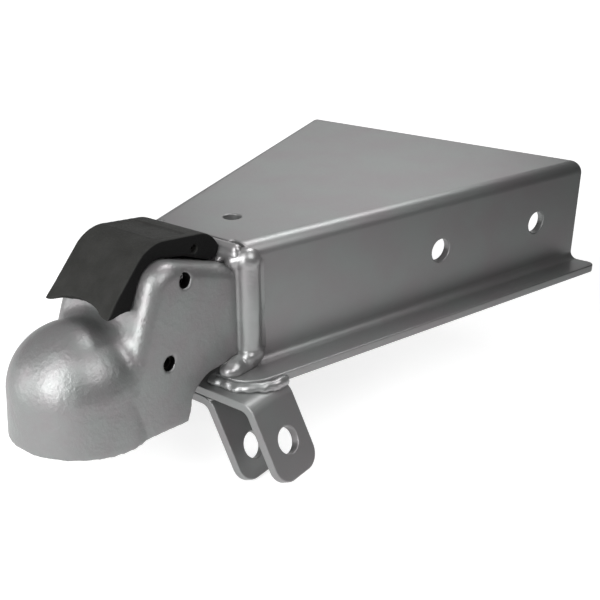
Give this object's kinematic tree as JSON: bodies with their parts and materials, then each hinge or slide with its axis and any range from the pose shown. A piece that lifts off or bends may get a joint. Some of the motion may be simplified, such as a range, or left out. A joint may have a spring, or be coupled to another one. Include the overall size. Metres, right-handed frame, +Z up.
{
  "type": "trailer ball coupler",
  "caption": "Trailer coupling head for an A-shaped tongue: cast ball socket with lift-up lever, wedge-shaped steel channel and chain ears.",
  "frame": {"origin": "centre of the tow ball", "axes": "+X back to the trailer along the tongue, +Z up, Y = 0 the mirror plane"},
  "size_m": [0.4559, 0.3154, 0.1678],
  "materials": {
    "head_paint": "satin silver over a cast skin",
    "plate_paint": "satin silver",
    "strap_paint": "satin silver",
    "weld_bead": "glossy silver",
    "lever_coat": "satin black",
    "pin_steel": "dark oiled",
    "inner_steel": "zinc plated",
    "spring_steel": "zinc plated",
    "slide_steel": "zinc plated",
    "clamp_iron": "as cast, oiled"
  },
  "bodies": {
    "coupler": {"coupler_head": "head_paint", "channel_frame": "plate_paint", "chain_strap_outer": "strap_paint", "chain_strap_inner": "strap_paint", "side_weld_left": "weld_bead", "side_weld_right": "weld_bead", "flange_weld_left": "weld_bead", "flange_weld_right": "weld_bead", "strap_weld_left": "weld_bead", "strap_weld_right": "weld_bead", "roof_weld": "weld_bead", "clamp_pin": "pin_steel", "clamp_spacer_left": "inner_steel", "clamp_spacer_right": "inner_steel", "clamp_spring_left": "spring_steel", "clamp_spring_right": "spring_steel", "lock_spring": "spring_steel"},
    "lock": {"lock_slide": "slide_steel", "spring_washer": "inner_steel"},
    "lever": {"latch_lever": "lever_coat", "lever_pin": "pin_steel"},
    "clamp": {"ball_clamp": "clamp_iron"}
  },
  "joints": [
    {"name": "lock_lift", "type": "slide", "parent": "coupler", "child": "lock", "axis": [0, 0, 1], "range_m": [0, 0.0112], "stiffness_N_per_m": 2500, "springref_m": -0.005, "deforming": ["lock_spring"]},
    {"name": "lever_lift", "type": "hinge", "parent": "lock", "child": "lever", "pos_m": [0.0758, 0, 0.0664], "axis": [0, 1, 0], "range_deg": [0, 40]},
    {"name": "clamp_swing", "type": "hinge", "parent": "coupler", "child": "clamp", "pos_m": [0.0388, 0, 0.0087], "axis": [0, 1, 0], "range_deg": [-22.5, 0]}
  ],
  "couplings": [
    {"joint": "lever_lift", "follows": "lock_lift", "rad_per_m": 62.112},
    {"joint": "clamp_swing", "follows": "lock_lift", "rad_per_m": -34.161}
  ]
}
